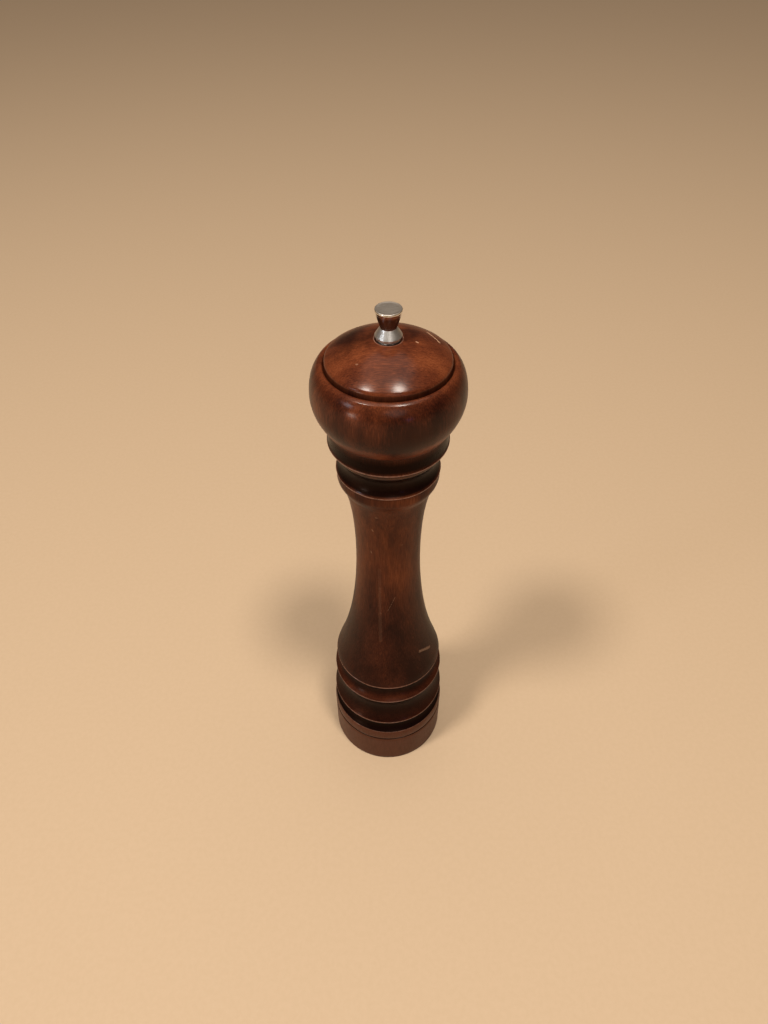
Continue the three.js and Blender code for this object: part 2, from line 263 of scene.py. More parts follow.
# Knocks and scratches: start, end, width and strength.
BODY_SCARS = [
    ((-4.9, -15.5, 173.8), (-4.3, -15.7, 173.6), 0.5, 0.2),
    ((-6.5, -13.5, 164.9), (-6.2, -13.6, 164.0), 0.35, 0.25),
    ((4.7, -13.2, 155.7), (5.5, -12.9, 155.3), 0.4, 0.2),
    ((-7.2, -12.0, 150.4), (-6.9, -12.1, 149.3), 0.3, 0.25),
    ((-0.2, -15.2, 114.1), (2.9, -14.2, 122.4), 0.22, 0.14),
    ((-3.7, -13.3, 140), (-3.7, -13.5, 128), 0.9, 0.025),
    ((-3.7, -13.5, 128), (-3.7, -14.7, 112), 0.9, 0.04),
    ((-3.7, -14.7, 112), (-3.6, -17.6, 94.6), 1.0, 0.035),
    ((14.9, -14.5, 81.4), (20.1, -9.5, 77.4), 0.9, 0.26),
    ((11, 22, 62.5), (14, 20, 60.8), 0.4, 0.3),
    ((-9, 11, 118), (-8, 12, 112), 0.3, 0.2),
]
HEAD_SCARS = [
    ((13.5, 9.5, 239.3), (17.4, 4.4, 238.5), 0.42, 0.9),
    ((9.4, -1.0, 242.0), (9.7, -1.1, 242.0), 0.45, 0.6),
    ((-10.6, -10.9, 239.9), (-10.2, -10.9, 239.9), 0.4, 0.25),
    ((-12, 24, 226), (-14, 23, 224.6), 0.4, 0.4),
]

# Patches of changed tone: the centre of a patch, its radius, and its change of tone.
BODY_PATCHES = [
    ((9, -22, 78), 14, -0.07),
    ((-8, -20, 90), 12, 0.03),
    ((0, 14, 150), 14, 0.05),
]
HEAD_PATCHES = [
    ((-10, 1, 241), 9, -0.17),
    ((-15, 8, 239), 8, -0.13),
    ((-16, -4, 239), 8, -0.1),
    ((13, -8, 240), 8, 0.04),
    ((-16, -9, 237.5), 4, 0.05),
    # Painted shade: the front of the bulb darkened where it reflects the dark side of the room.
    ((8, -26, 219), 13, -0.18),
    ((-11, -24, 229.5), 5, 0.14),
    ((-24, -14, 224), 5, 0.06),
]

# Painted light in bands all the way round: the lit, up-facing lower parts of two coves on the body,
# and a sheen on the bulb's lower part. Low edge, high edge, and change of tone.
BODY_LIT_BANDS = [(55.6, 57.8, 0.2), (37.5, 41, 0.05)]
HEAD_LIT_BANDS = [(209.8, 215.0, 0.2)]


def near_line(f, start, end, width):
    """1 on a line between two points in millimetres, falling to 0 at width from it."""
    along = Vector(end) - Vector(start)
    here = f.place()
    ragged = (f.noise(here, 1.6, 3) - 0.5) * 1.8
    offset = f.vector_maths("SUBTRACT", {0: here, 1: start})
    share = f.vector_maths("DOT_PRODUCT", {0: offset, 1: along / along.length_squared}, "Value")
    t = f.node("ShaderNodeClamp", {"Value": share})
    nearest = f.vector_maths("SCALE", {0: along, "Scale": t})
    away = f.distance(offset, nearest)
    return (away + ragged * width).ramp(width * 0.5, width, 1, 0)


def end_grain(f, along):
    """Short fleeting streaks along X on the top, long fine ones up the sides."""
    top = f.noise(f.place(scale=(0.3, 3.2, 3.2)), 1, 4, 0.65)
    sides = f.noise(f.place(scale=(2.4, 2.4, 0.16)), 1, 4, 0.62)
    on_top = along.ramp(233, 237)
    return top * on_top + sides * (1 - on_top)


def growth_rings(f, centre, along):
    """Broad bands and fine streaks of a blank cut well off the heart of the tree, at centre."""
    flat = f.place(scale=(1, 1, 0), move=(-centre[0], -centre[1], 0))
    across = f.vector_maths("LENGTH", {0: flat}, "Value")
    warp = f.noise(f.place(scale=(1, 1, 0.15)), 0.05, 2) - 0.5
    sheet = f.node("ShaderNodeCombineXYZ", {
        0: across + warp * 9, 1: f.axis("X") * 0.22, 2: along * 0.05})
    return f.noise(sheet, 0.42, 4, 0.6), f.noise(sheet, 2.3, 4, 0.7)


def uneven(f, tone, cloud, along, patches, lit_bands):
    """The stain's tone, changed in patches, and lightened in bands round the piece where light is
    painted.
    """
    for spot, radius, change in patches:
        away = f.distance(f.place(), spot) + cloud * radius * 0.8
        tone = tone + away.ramp(radius * 0.5, radius * 1.5, change, 0)
    for low, high, change in lit_bands:
        # Painted light: each band is lightened where light falls on it or shines off it.
        tone = tone + along.ramp(low - 1, low + 1) * along.ramp(high - 1.5, high + 1.5, change, 0)
    return tone


def on_foot(along, top):
    """1 on the foot, up to a height, and on the ring above the groove there."""
    ring = along.ramp(top + 0.2, top + 0.4) * along.ramp(top + 6.2, top + 6.7, 1, 0)
    return along.ramp(top - 0.3, top + 0.1, 1, 0) + ring


def stained_wood(name, centre, gloss, coat, lift, glow, stops, patches, lit_bands, scars,
                 foot_top=None):
    """Dark stain over fine, even-grained wood under a lacquer.

    coat, lift and glow are (height, height, value, value): how the lacquer thickens and the
    colour lightens and reddens up the piece. On the head the lift is painted shade, the bulb darker
    than the dome. gloss is the least roughness."""
    f = Finish(name)
    along = f.axis("Z")
    band, streak = growth_rings(f, centre, along)
    fleck = end_grain(f, along)
    pore = f.noise(f.place(scale=(7, 7, 0.6)), 1, 2, 0.5).ramp(0.60, 0.70)
    cloud = f.noise(f.place(scale=(0.07, 0.07, 0.025)), 1, 3, 0.5)
    tone = band * 0.22 + streak * 0.25 + fleck * 0.45 + cloud * 0.4 - 0.16 + along.ramp(*lift)
    tone = uneven(f, tone, cloud, along, patches, lit_bands)

    colour = f.node("ShaderNodeValToRGB", {"Fac": tone}, stops=stops)
    ember = cloud.ramp(0.35, 0.8) * along.ramp(*glow) * (0.1 + fleck * 1.5)
    colour = f.mix(ember, colour, EMBER)
    if foot_top:
        colour = f.mix(on_foot(along, foot_top) * (0.4 + fleck * 0.6), colour, FOOT_BROWN)
    colour = f.mix(pore * 0.45, colour, PORE_BROWN)

    # Painted shade: coves, grooves and the collar darkened where light doesn't reach, with thinner
    # lacquer there.
    shade_mask = f.attribute("painted_shade")
    colour = f.mix(shade_mask * (0.8 + fleck * 0.25), colour, PAINTED_COVE_SHADE)
    chip = f.noise(f.place(), 0.8, 4, 0.6)
    # Arrises lightened, partly by real wear and partly by a painted highlight; the lacquer is
    # thicker there.
    wear_and_sheen = f.attribute("wear_and_sheen") * chip.ramp(0.30, 0.55, 0.35, 1)
    colour = f.mix(wear_and_sheen * 0.8, colour, WORN_WOOD_AND_SHEEN)
    inside = f.attribute("raw")
    colour = f.mix(inside * (0.75 + fleck * 0.25), colour, RAW_WOOD)
    for start, end, width, strength in scars:
        colour = f.mix(near_line(f, start, end, width) * strength, colour, SCARRED_WOOD)

    ripple = f.noise(f.place(), 0.25, 2)
    height = streak * 0.4 + fleck * 0.4 - pore * 0.6 + ripple * 0.5
    dull = f.noise(f.place(), 0.07, 4, 0.6)
    smear = f.noise(f.place(scale=(1, 1, 0.4)), 0.9, 4, 0.65)
    roughness = dull * 0.16 + smear * 0.14 + pore * 0.08 + gloss - shade_mask * 0.1 + inside * 0.25
    lacquer = (along.ramp(*coat) + wear_and_sheen * 0.8 + dull * 0.06) * (1 - shade_mask * 0.95) * (1 - inside)
    return f.surface(
        bump=(height, 0.25, 0.07), Base_Color=colour, Roughness=roughness, Coat_Weight=lacquer,
        Coat_Roughness=0.2, Specular_IOR_Level=0.06, Specular_Tint=LACQUER_TINT,
    )


# ---------------------------------------------------------------- other finishes
def plain_floor():
    f = Finish("pale_floor")
    speck = f.noise(f.place(), 0.4, 3, 0.6)
    colour = f.mix(speck.ramp(0.3, 0.7), (0.550, 0.398, 0.255), (0.565, 0.411, 0.266))
    return f.surface(bump=(speck, 0.1, 0.2), Base_Color=colour, Roughness=0.75)


def polished_steel():
    """Turned bright above the waist, left satin on the skirt and on the flat top."""
    f = Finish("polished_steel")
    height = f.axis("Z")
    smear = f.noise(f.place(), 0.8, 4, 0.6)
    turning = f.noise(f.place(scale=(0.3, 0.3, 9)), 1, 2)
    top_marks = f.noise(f.place(scale=(0.5, 5, 1)), 1, 3, 0.6)
    skirt = height.ramp(247.2, 247.45, 0.26, 0)
    top = height.ramp(253.75, 253.88)
    waist = height.ramp(247.1, 247.5) * height.ramp(251.5, 252.9, 1, 0)
    colour = f.mix(smear.ramp(0.3, 0.8), (0.64, 0.62, 0.59), (0.80, 0.78, 0.75))
    # Painted dark reflection: the waist darkened where it mirrors the dark wood round it.
    colour = f.mix(waist, colour, (0.24, 0.24, 0.25))
    colour = f.mix(top * top_marks.ramp(0.3, 0.7, 0.5, 1), colour, (0.45, 0.385, 0.32))
    return f.surface(
        bump=(turning * (1 - top) + top_marks * top, 0.2, 0.02), Base_Color=colour, Metallic=1.0,
        Roughness=smear * 0.08 + turning * 0.06 + skirt + top * 0.33 + 0.07,
    )


def satin_steel(name, dark, light, rough, grain=(2, 2, 2)):
    """Steel with fine working marks, a little staining and uneven shine."""
    f = Finish(name)
    stain = f.noise(f.place(), 0.35, 5, 0.6)
    marks = f.noise(f.place(scale=grain), 1, 3, 0.6)
    colour = f.mix(stain.ramp(0.3, 0.75), dark, light)
    return f.surface(
        bump=(marks, 0.4, 0.03), Base_Color=colour, Metallic=1.0,
        Roughness=stain * 0.15 + marks * 0.12 + rough,
    )


# ---------------------------------------------------------------- turning and cutting
class Outline:
    """A turning outline: radius and height in millimetres, with three marks at each point.

    The first is painted shade, darkening coves, grooves and the collar where light doesn't reach.
    The second lightens an arris, partly real wear and partly a painted highlight. The third, raw,
    is unstained wood inside the mill."""

    def __init__(self, radius, height):
        self.points = [(radius, height, 0.0, 0.0, 0.0)]

    def add(self, radius, height, painted_shade=0.0, wear_and_sheen=0.0, raw=0.0):
        self.points.append((radius, height, painted_shade, wear_and_sheen, raw))

    def line(self, radius, height, painted_shade=0.0, wear_and_sheen=0.0, raw=0.0, parts=1):
        r0, z0 = self.points[-1][:2]
        for i in range(1, parts + 1):
            t = i / parts
            self.add(r0 + (radius - r0) * t, z0 + (height - z0) * t, painted_shade, wear_and_sheen, raw)

    def curve(self, *controls, parts=10, painted_shade=0.0):
        """A Bezier curve through its control points. The painted shade given sets how dark it gets:
        one value for the middle, or two, near its start and near its end."""
        corners = [self.points[-1][:2], *controls]
        for i in range(1, parts + 1):
            t = i / parts
            run = corners
            while len(run) > 1:
                run = [(a[0] + (b[0] - a[0]) * t, a[1] + (b[1] - a[1]) * t)
                       for a, b in zip(run, run[1:])]
            if isinstance(painted_shade, tuple):
                shade_amount = painted_shade[0] * (1 - t) + painted_shade[1] * t
            else:
                shade_amount = min(1, 1.6 * painted_shade * math.sin(math.pi * t))
            self.add(*run[0], painted_shade=shade_amount)

    def cove(self, radius, height, depth, painted_shade, parts=14):
        """A cove sunk by depth between the last point and (radius, height), darkened with painted
        shade.
        """
        r0, z0 = self.points[-1][:2]
        middle = ((r0 + radius) / 2 - 2 * depth, (z0 + height) / 2)
        self.curve(middle, (radius, height), parts=parts, painted_shade=painted_shade)

    def arris(self, radius, height, size=0.45):
        """A rounded corner standing out at a radius and height, lightened partly by real wear and
        partly by a painted highlight.
        """
        for step in range(-2, 3):
            angle = step * math.pi / 6
            out = radius - size + size * math.cos(angle)
            self.add(out, height + size * math.sin(angle), wear_and_sheen=(1, 0.45, 0)[abs(step)])

    def arc(self, centre, radius, start, end, parts=20):
        for i in range(1, parts + 1):
            angle = start + (end - start) * i / parts
            self.add(radius * math.cos(angle), centre + radius * math.sin(angle))


def piece(name, bm, finish, smooth_angle=None):
    """Makes a bmesh into an object in the scene, shaded smooth up to an angle in degrees."""
    mesh = bpy.data.meshes.new(name)
    bm.to_mesh(mesh)
    bm.free()
    made = bpy.data.objects.new(name, mesh)
    bpy.context.collection.objects.link(made)
    mesh.materials.append(finish)
    if smooth_angle is not None:
        for face in mesh.polygons:
            face.use_smooth = True
        mesh.set_sharp_from_angle(angle=math.radians(smooth_angle))
    return made


def lathe(bm, outline, steps):
    """Spins an outline round the Z axis into a closed skin."""
    verts = []
    for radius, height, *_ in outline.points:
        spot = Vector((radius * MM, 0, height * MM))
        if not verts or (verts[-1].co - spot).length > 1e-6:
            verts.append(bm.verts.new(spot))
    pairs = list(zip(verts, verts[1:]))
    if outline.points[0][0] > 0 and outline.points[-1][0] > 0:
        pairs.append((verts[-1], verts[0]))
    edges = [bm.edges.new(pair) for pair in pairs]
    bmesh.ops.spin(bm, geom=verts + edges, cent=(0, 0, 0), axis=(0, 0, 1), angle=2 * math.pi,
                   steps=steps, use_merge=True)
    closed(bm)


def closed(bm):
    """Merges doubled points and turns the faces outward."""
    bmesh.ops.remove_doubles(bm, verts=bm.verts, dist=1e-6)
    bmesh.ops.recalc_face_normals(bm, faces=bm.faces)


def turned(name, outline, finish, steps=STEPS_ROUND):
    """A piece made by turning alone, with its outline's marks of painted shade, wear with painted
    highlight, and bare wood.
    """
    bm = bmesh.new()
    lathe(bm, outline, steps)
    made = piece(name, bm, finish, 28)
    write_marks(made.data, outline)
    return made


def write_marks(mesh, outline):
    layers = [mesh.attributes.new(mark, "FLOAT", "POINT") for mark in ("painted_shade", "wear_and_sheen", "raw")]
    marks = {(round(r, 3), round(z, 3)): found for r, z, *found in outline.points}
    for v in mesh.vertices:
        radius = math.hypot(v.co.x, v.co.y) / MM
        height = v.co.z / MM
        found = marks.get((round(radius, 3), round(height, 3))) or marks[min(
            marks, key=lambda k: abs(k[0] - radius) + abs(k[1] - height))]
        for layer, value in zip(layers, found):
            layer.data[v.index].value = value


def circle(radius, x=0.0, steps=48):
    """Points round a circle, as a hole or a disc to cut."""
    angles = [2 * math.pi * i / steps for i in range(steps)]
    return [(x + radius * math.cos(a), radius * math.sin(a)) for a in angles]


def square(width):
    h = width / 2
    return [(h, h), (-h, h), (-h, -h), (h, -h)]


def strip(length, width, corner, steps=6):
    """Points round a strip with rounded corners."""
    points = []
    for turn, (sx, sy) in enumerate(((1, 1), (-1, 1), (-1, -1), (1, -1))):
        for i in range(steps + 1):
            angle = math.pi / 2 * (turn + i / steps)
            points.append((sx * (length / 2 - corner) + corner * math.cos(angle),
                           sy * (width / 2 - corner) + corner * math.sin(angle)))
    return points


def soften(bm, size):
    """Rounds the sharp edges of a steel piece."""
    limit = math.radians(35)
    edges = [e for e in bm.edges if len(e.link_faces) == 2 and e.calc_face_angle() > limit]
    bmesh.ops.bevel(bm, geom=edges, offset=size * MM, offset_type="OFFSET", segments=2,
                    profile=0.5, affect="EDGES", material=-1, clamp_overlap=True)


def pressed(name, outer, holes, thickness, finish, underside=0.0, folds=(), bend=None, edge=0.15,
            downward=False):
    """Sheet steel cut to its outlines, folded by bend(x) -> (x, z), then thickened upward from
    that face, or downward from it."""
    bm = bmesh.new()
    for loop in (outer, *holes):
        verts = [bm.verts.new((x * MM, y * MM, underside * MM)) for x, y in loop]
        for pair in zip(verts, verts[1:] + verts[:1]):
            bm.edges.new(pair)
    bmesh.ops.triangle_fill(bm, edges=bm.edges[:], use_beauty=True, normal=(0, 0, 1))
    for x in folds:
        everything = bm.verts[:] + bm.edges[:] + bm.faces[:]
        bmesh.ops.bisect_plane(bm, geom=everything, plane_co=(x * MM, 0, 0), plane_no=(1, 0, 0),
                               dist=1e-7)
    if bend:
        for v in bm.verts:
            x, z = bend(v.co.x / MM)
            v.co.x, v.co.z = x * MM, z * MM
    bmesh.ops.recalc_face_normals(bm, faces=bm.faces)
    looks_up = sum(face.normal.z * face.calc_area() for face in bm.faces) > 0
    if looks_up != downward:
        bmesh.ops.reverse_faces(bm, faces=bm.faces[:])
    bmesh.ops.solidify(bm, geom=bm.faces[:], thickness=thickness * MM)
    closed(bm)
    soften(bm, edge)
    return piece(name, bm, finish, 30)


def coil(bm, radius, wire, bottom, runs, steps=32, sides=14):
    """A wire wound up the Z axis from a height, in runs of (turns, rise)."""
    start = Matrix.Translation((radius * MM, 0, bottom * MM)) @ Matrix.Rotation(
        math.pi / 2, 4, "X")
    made = bmesh.ops.create_circle(bm, cap_ends=False, radius=wire * MM, segments=sides,
                                   matrix=start)
    last = made["verts"] + list({edge for v in made["verts"] for edge in v.link_edges})
    for turns, rise in runs:
        count = round(turns * steps)
        made = bmesh.ops.spin(bm, geom=last, cent=(0, 0, 0), axis=(0, 0, 1),
                              angle=2 * math.pi * turns, steps=count,
                              dvec=(0, 0, rise * MM / count))
        last = made["geom_last"]
    bmesh.ops.holes_fill(bm, edges=bm.edges[:], sides=sides)
    closed(bm)


# ---------------------------------------------------------------- wooden pieces
def mill_body(finish):
    # The coves and the groove at the foot carry painted shade; the arrises carry wear and a painted
    # highlight.
    o = Outline(20.3, 0)
    o.line(27.8, 0)
    o.curve((28.4, 0), (28.4, 0.7), parts=4)
    o.line(28.4, 20.1, parts=8)
    o.line(28.3, 20.3, painted_shade=1)
    o.line(27.8, 20.5, painted_shade=1)
    o.line(27.75, 20.8, painted_shade=1)
    o.line(28.2, 21.0, painted_shade=1)
    o.add(28.3, 21.25)
    o.curve((28.5, 22.5), (28.5, 25.6), (28.1, 27.1), parts=8)
    o.add(28.0, 27.3, wear_and_sheen=0.5)
    o.line(27.8, 27.45, painted_shade=1)
    o.cove(27.45, 36.0, 2.1, (1.0, 0.95))
    o.arris(27.75, 36.5)
    o.cove(26.5, 54.7, 3.0, (0.5, 1.0), parts=20)
    o.arris(26.8, 55.2)
    o.cove(25.35, 65.6, 2.3, (0.3, 1.0), parts=16)
    o.arris(25.65, 66.1)
    o.curve((25.08, 68.4), (24.15, 71), parts=8)
    o.curve((14.9, 97.5), (13.9, 129), (13.9, 141), parts=40)
    o.curve((13.9, 154.4), (14.75, 168.4), (17.6, 178.2), parts=24)
    o.curve((18.1, 179.7), (19.6, 181.4), (20.0, 183.6), parts=10)
    o.line(20.0, 187.1, parts=3)
    o.arris(20.3, 187.6, size=0.35)
    o.cove(20.6, 197.6, 1.9, (1.0, 1.0))
    o.curve((20.9, 197.9), (20.9, 198.4), parts=3, painted_shade=0.5)
    o.line(20.9, 199.1, painted_shade=0.5)
    o.curve((20.9, 199.5), (20.5, 199.5), parts=3)
    for radius, height in ((13.4, 199.5), (13.1, 199.2), (13.1, 184), (10, 184), (10, 39),
                           (14, 36), (14, 9), (20.3, 9), (20.3, 0.4)):
        o.line(radius, height, raw=1)
    return turned("body_wood", o, finish)


def mill_head(finish):
    dome = 36.0
    dome_centre = 243.3 - dome
    cap = 21.3
    # The collar and the groove round the dome carry painted shade; the arrises carry wear and a
    # painted highlight, and the lip round the finial a painted highlight.
    o = Outline(3.8, 186.4)
    for radius, height in ((12.2, 186.4), (12.7, 186.9), (12.7, 199.9)):
        o.line(radius, height, raw=1)
    o.line(21.0, 199.9, raw=0.3)
    o.curve((22.2, 200.2), (22.65, 200.9), parts=6)
    o.arris(22.95, 201.4)
    o.curve((22.4, 203), (22.5, 208.5), parts=10, painted_shade=0.8)
    o.add(22.6, 208.8, painted_shade=0.9)
    o.line(23.0, 209.05, painted_shade=0.2)
    o.curve((25.0, 212.3), (27.95, 216.8), (27.95, 222.2), parts=26)
    o.curve((27.95, 227.5), (26.7, 230.8), (24.9, 232.9), parts=22)
    o.curve((24.7, 233.2), (24.4, 233.35), parts=4)
    o.curve((23.6, 233.95), (22.9, 233.6), parts=8)
    o.line(22.5, 233.0, painted_shade=0.5)
    o.line(22.35, 232.9, painted_shade=0.7)
    o.line(22.2, 233.4, painted_shade=0.7)
    o.line(22.1, 235.0, painted_shade=0.6, parts=4)
    o.curve((22.0, 235.8), (cap, dome_centre + math.sqrt(dome ** 2 - cap ** 2)), parts=8)
    o.arc(dome_centre, dome, math.acos(cap / dome), math.acos(5.2 / dome), parts=28)
    o.add(4.95, 243.0, wear_and_sheen=1)
    o.add(4.7, 242.85, wear_and_sheen=0.5)
    for radius, height in ((4.6, 242), (3.8, 242)):
        o.line(radius, height)
    return turned("head_wood", o, finish)


# ---------------------------------------------------------------- finial
def finial_nut(finish):
    o = Outline(0, 250.9)
    o.line(2.25, 250.2)
    o.line(2.25, 243.4)
    o.line(4.3, 243.4)
    o.line(4.4, 243.5)
    o.line(4.4, 244.1)
    o.curve((4.65, 244.15), (4.7, 244.4), parts=4)
    o.line(4.6, 244.6)
    o.line(2.9, 247.25, parts=4)
    o.line(2.9, 247.4)
    o.curve((3.25, 248.8), (4.1, 250.9), (4.45, 252.9), parts=16)
    o.curve((4.62, 253.1), (4.66, 253.5), (4.55, 253.8), parts=6)
    o.curve((4.45, 254.0), (4.2, 253.98), parts=4)
    o.line(4.0, 253.9)
    o.line(0, 253.95, parts=6)
    return turned("finial", o, finish, STEPS_SMALL)


def washer(name, inner, outer, bottom, top, finish):
    edge = 0.12
    o = Outline(inner, bottom)
    for radius, height in ((outer - edge, bottom), (outer, bottom + edge), (outer, top - edge),
                           (outer - edge, top), (inner, top)):
        o.line(radius, height)
    return turned(name, o, finish, STEPS_SMALL)


# ---------------------------------------------------------------- drive
SCREW_HEAD_HEIGHT = 1.4
SCREW_PITCH = 0.9
BAR_SCREW = {"head": 2.8, "shank": 1.3, "length": 13}
PLATE_SCREW = {"head": 2.3, "shank": 1.2, "length": 11.5}


def wood_screw(name, x, seat, finish, head, shank, length):
    """Head down, its flat back at height seat, with a cross recess and a ridged, tapering shank.

    head and shank are radii."""
    face = seat - SCREW_HEAD_HEIGHT
    tip = seat + length
    o = Outline(head * 0.62, face)
    o.curve((head * 0.98, face), (head, face + 0.7), parts=6)
    o.line(head, seat - 0.12)
    o.line(head - 0.12, seat)
    o.line(shank, seat)
    height = seat
    while height < tip - SCREW_PITCH:
        narrow = shank * min(1, 0.25 + (tip - height) / 5)
        o.line(narrow * 0.78, height + 0.35)
        o.line(narrow, height + 0.7)
        height += SCREW_PITCH
    o.line(0, tip)
    bm = bmesh.new()
    verts = [bm.verts.new((r * MM, 0, z * MM)) for r, z, *_ in o.points]
    edges = [bm.edges.new(pair) for pair in zip(verts, verts[1:])]
    bmesh.ops.spin(bm, geom=verts + edges, cent=(0, 0, 0), axis=(0, 0, 1), angle=2 * math.pi,
                   steps=STEPS_SCREW, use_merge=True)
    bmesh.ops.remove_doubles(bm, verts=bm.verts, dist=1e-6)
    cross_recess(bm, face, head * 0.6, head * 0.13)
    closed(bm)
    bmesh.ops.translate(bm, verts=bm.verts, vec=(x * MM, 0, 0))
    return piece(name, bm, finish, 30)


def cross_recess(bm, face, reach, half):
    """Closes the round opening at the face's height with a cross-shaped pit."""
    rim = [e for e in bm.edges if e.is_boundary]
    arm = [(half, half), (half, reach), (-half, reach)]
    loop = []
    for _ in range(4):
        loop += arm
        arm = [(-y, x) for x, y in arm]
    verts = [bm.verts.new((x * MM * 0.9, y * MM * 0.9, face * MM)) for x, y in loop]
    edges = [bm.edges.new(pair) for pair in zip(verts, verts[1:] + verts[:1])]
    bmesh.ops.bridge_loops(bm, edges=rim + edges)
    made = bmesh.ops.extrude_edge_only(bm, edges=edges)
    floor_verts = [g for g in made["geom"] if isinstance(g, bmesh.types.BMVert)]
    for v in floor_verts:
        v.co.z += 0.9 * MM
        v.co.x *= 0.7
        v.co.y *= 0.7
    floor_edges = [g for g in made["geom"] if isinstance(g, bmesh.types.BMEdge) and g.is_boundary]
    bmesh.ops.edgeloop_fill(bm, edges=floor_edges)


BAR_WIDTH = 4.8
BAR_FOOT, BAR_TOP = 12, 236  # heights of the square part
THREAD_RADIUS = 1.62  # at the root
THREAD_TURNS = 16
THREAD_PITCH = 0.7


def drive_spindle(finish):
    """A square bar, turned down to a plain journal below and cut with a thread above."""
    bm = bmesh.new()
    box = bmesh.ops.create_cube(bm, size=1)["verts"]
    bmesh.ops.scale(bm, vec=Vector((BAR_WIDTH, BAR_WIDTH, BAR_TOP - BAR_FOOT)) * MM, verts=box)
    bmesh.ops.translate(bm, vec=(0, 0, (BAR_TOP + BAR_FOOT) / 2 * MM), verts=box)
    soften(bm, 0.25)
    journal = Outline(0, 3.6)
    for radius, height in ((1.7, 3.6), (2, 3.9), (2, 9.9), (1.5, 9.9), (1.5, 10.9), (2, 10.9),
                           (2, 12.4), (0, 12.4)):
        journal.line(radius, height)
    core = Outline(0, 235.6)
    for radius, height in ((1.95, 235.6), (1.95, 236.4), (THREAD_RADIUS, 236.7),
                           (THREAD_RADIUS, 248.5), (1.3, 249), (0, 249)):
        core.line(radius, height)
    for outline in (journal, core):
        part = bmesh.new()
        lathe(part, outline, STEPS_SMALL)
        add_to(bm, part)
    thread = bmesh.new()
    rise = THREAD_TURNS * THREAD_PITCH
    coil(thread, THREAD_RADIUS, 0.38, 236.8, ((THREAD_TURNS, rise),), steps=28, sides=3)
    add_to(bm, thread)
    return piece("spindle_bar", bm, finish, 30)


def add_to(bm, part):
    """Adds one bmesh's skin to another."""
    mesh = bpy.data.meshes.new("part")
    part.to_mesh(mesh)
    part.free()
    bm.from_mesh(mesh)
    bpy.data.meshes.remove(mesh)


# ---------------------------------------------------------------- burrs, spring and brackets
TEETH = 12
TOOTH_RISE = 0.75  # the share of a tooth that climbs, before it falls steeply


def burr_ring(name, points, depth, spiral, on_face, bore, finish):
    """A turned blank whose grinding face is cut with teeth that coarsen towards the top.

    on_face(r, z) says what is cut; bore is the width of a square hole, or None."""
    o = Outline(*points[0])
    for radius, height in points[1:]:
        o.line(radius, height, parts=4)
    bm = bmesh.new()
    lathe(bm, o, TEETH * 16)
    low = min(z for r, z in points)
    high = max(z for r, z in points)
    for v in bm.verts:
        x, y, z = (c / MM for c in v.co)
        r = math.hypot(x, y)
        if bore and r < bore * 0.75:
            k = bore / 2 / max(abs(x), abs(y))
            v.co.x, v.co.y = v.co.x * k, v.co.y * k
        elif on_face(r, z):
            up = (z - low) / (high - low)
            turn = (math.atan2(y, x) + spiral * up) * TEETH / (2 * math.pi) % 1
            tooth = turn / TOOTH_RISE if turn < TOOTH_RISE else (1 - turn) / (1 - TOOTH_RISE)
            k = 1 + depth * (0.45 + 1.2 * up) * tooth / r
            v.co.x, v.co.y = v.co.x * k, v.co.y * k
    bmesh.ops.recalc_face_normals(bm, faces=bm.faces)
    return piece(name, bm, finish, 32)


def stator(finish):
    points = [(13.7, 9), (13.7, 22), (12.2, 22), (11.4, 21.2), (10.6, 19), (9.5, 15.5),
              (9.6, 14), (10.2, 11.8), (10.95, 9)]
    return burr_ring("burr_ring", points, 0.7, 0, lambda r, z: r < 12 and z < 21.9, None, finish)


def rotor(finish):
    points = [(6.4, 8.8), (10.3, 8.8), (9.6, 11.6), (8.8, 14.2), (7.2, 17), (5.4, 19.4),
              (4.9, 20), (3.5, 20), (3.5, 12), (6.4, 12)]
    return burr_ring(
        "burr_cone", points, -0.9, 0.9,
        lambda r, z: r > 5.3 and z < 19.9 and not (r < 6.5 and z < 12.1), 4.9, finish)


def clip(finish):
    """A flat ring open on one side, sprung into the journal's groove."""
    outer, inner, mouth = 3.6, 1.6, 1.3
    wide = math.asin(mouth / outer)
    narrow = math.asin(mouth / inner * 0.9)
    steps = 40
    run = []
    for radius, gap, way in ((outer, wide, 1), (inner, narrow, -1)):
        angles = [gap + (2 * math.pi - 2 * gap) * i / steps for i in range(steps + 1)]
        for a in angles[::way]:
            run.append((-radius * math.sin(a), radius * math.cos(a)))
    return pressed("spindle_clip", run, [], 0.6, finish, underside=10.1, edge=0.08)


def bracket(finish):
    """A strip bent into an upside-down U that takes the spring's push."""
    flat, corner, top = 8.8, 3.0, 34.6
    arc = corner * math.pi / 2
    leg = top - corner - 22.3

    def bend(x):
        s = abs(x)
        side = math.copysign(1, x)
        if s <= flat:
            return x, top
        if s <= flat + arc:
            angle = (s - flat) / corner
            return side * (flat + corner * math.sin(angle)), top - corner + corner * math.cos(angle)
        return side * (flat + corner), top - corner - (s - flat - arc)

    folds = [side * (flat + arc * i / 6) for side in (-1, 1) for i in range(7)]
    return pressed("spring_stop", strip(2 * (flat + arc + leg), 11, 1.0), [circle(3.8)], 1.3,
                   finish, folds=folds, bend=bend, downward=True)


def foot_bar(finish):
    """A bar across the foot: its ends are screwed to the wood, and its middle is dropped."""
    low, high = 4.6, 7.1
    inner, outer = 11.8, 13.6

    def bend(x):
        rise = min(1, max(0, (abs(x) - inner) / (outer - inner)))
        return x, low + (high - low) * rise

    holes = [circle(2.35), circle(1.7, 16.8), circle(1.7, -16.8)]
    return pressed("foot_bar", strip(38, 9, 2.2), holes, 1.6, finish,
                   folds=(-outer, -inner, inner, outer), bend=bend)


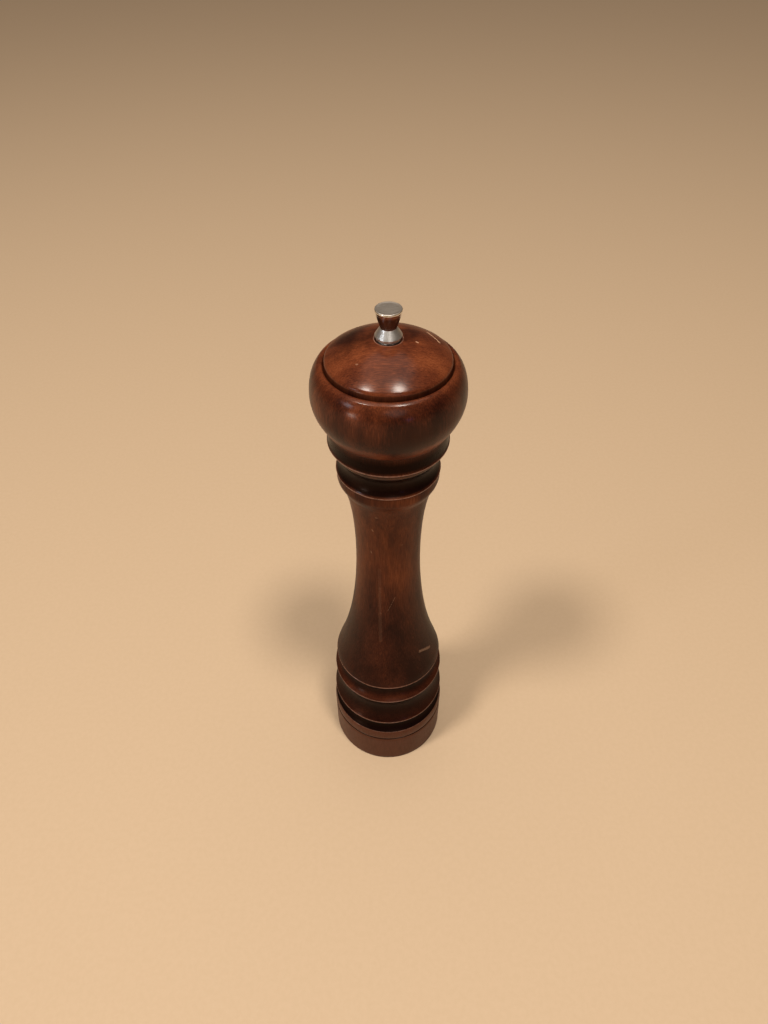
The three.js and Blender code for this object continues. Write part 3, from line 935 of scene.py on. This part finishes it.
def push_spring(finish):
    bm = bmesh.new()
    coil(bm, 4.4, 0.5, 20.8, ((1, 1.1), (4, 8.3), (1, 1.1)))
    return piece("push_spring", bm, finish, 40)


# ---------------------------------------------------------------- assembly
walnut_body = stained_wood(
    "stained_body_wood", centre=(6, 90), gloss=0.27, coat=(187, 190, 0.08, 0.8),
    lift=(70, 150, -0.17, 0.0), glow=(90, 170, 0.04, 0.5), stops=DARK_STAIN,
    patches=BODY_PATCHES, lit_bands=BODY_LIT_BANDS, scars=BODY_SCARS, foot_top=20.7)
# The head's lift darkens the bulb under the dome: painted shade.
walnut_head = stained_wood(
    "stained_head_wood", centre=(-8, 110), gloss=0.24, coat=(208, 230, 0.05, 0.32),
    lift=(231, 235, -0.14, 0.0), glow=(226, 236, 0.12, 0.2), stops=RED_STAIN,
    patches=HEAD_PATCHES, lit_bands=HEAD_LIT_BANDS, scars=HEAD_SCARS)
steel = polished_steel()
plated = satin_steel("plated_steel", (0.36, 0.35, 0.33), (0.55, 0.54, 0.52), 0.22)
screw = satin_steel("screw_steel", (0.30, 0.29, 0.28), (0.52, 0.50, 0.46), 0.22)
bar = satin_steel("drawn_bar_steel", (0.42, 0.41, 0.40), (0.58, 0.57, 0.56), 0.2, (6, 6, 0.1))
burr = satin_steel("burr_steel", (0.14, 0.135, 0.13), (0.25, 0.245, 0.24), 0.36)
wire = satin_steel("spring_wire", (0.32, 0.31, 0.30), (0.48, 0.47, 0.45), 0.2)
brass = satin_steel("brass_washer", (0.42, 0.27, 0.10), (0.60, 0.42, 0.18), 0.22)

spring = push_spring(wire)
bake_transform(spring)
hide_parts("spring")

disc = circle(11.8, steps=96)
plate_screw_x, bar_screw_x = 7.2, 16.8
plate_holes = [square(5.2), circle(1.6, plate_screw_x), circle(1.6, -plate_screw_x)]
for made, body, node, slot in (
    (mill_body(walnut_body), "body", "mill_body", "walnut_body"),
    (mill_head(walnut_head), "head", "mill_head", "walnut_head"),
    (finial_nut(steel), "finial", "finial_nut", "polished_steel"),
    (washer("dome_washer", 2.3, 4.2, 242.3, 243.1, plated), "head", "finial_washer",
     "plated_steel"),
    (pressed("drive_disc", disc, plate_holes, 1.5, plated, underside=184.6), "head",
     "drive_plate", "plated_steel"),
    (wood_screw("disc_screw_1", -plate_screw_x, 184.3, screw, **PLATE_SCREW), "head",
     "drive_plate_screw_1", "screw_steel"),
    (wood_screw("disc_screw_2", plate_screw_x, 184.3, screw, **PLATE_SCREW), "head",
     "drive_plate_screw_2", "screw_steel"),
    (wood_screw("foot_screw_1", -bar_screw_x, 6.8, screw, **BAR_SCREW), "body", "crossbar_screw_1",
     "screw_steel"),
    (wood_screw("foot_screw_2", bar_screw_x, 6.8, screw, **BAR_SCREW), "body", "crossbar_screw_2",
     "screw_steel"),
    (drive_spindle(bar), "spindle", "spindle", "bar_steel"),
    (stator(burr), "body", "stator_burr", "burr_steel"),
    (rotor(burr), "spindle", "rotor_burr", "burr_steel"),
    (washer("cone_washer", 2.2, 4.6, 11.1, 11.75, plated), "spindle", "rotor_washer",
     "plated_steel"),
    (clip(wire), "spindle", "retaining_clip", "spring_steel"),
    (bracket(plated), "body", "spring_bracket", "plated_steel"),
    (pressed("brass_washer", circle(6.2, steps=72), [square(5.2)], 0.9, brass, underside=32.1),
     "turning_washer", "thrust_washer", "brass"),
    (foot_bar(plated), "body", "crossbar", "plated_steel"),
):
    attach(made, body)
    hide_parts(node)

floor(plain_floor())
camera()
studio()
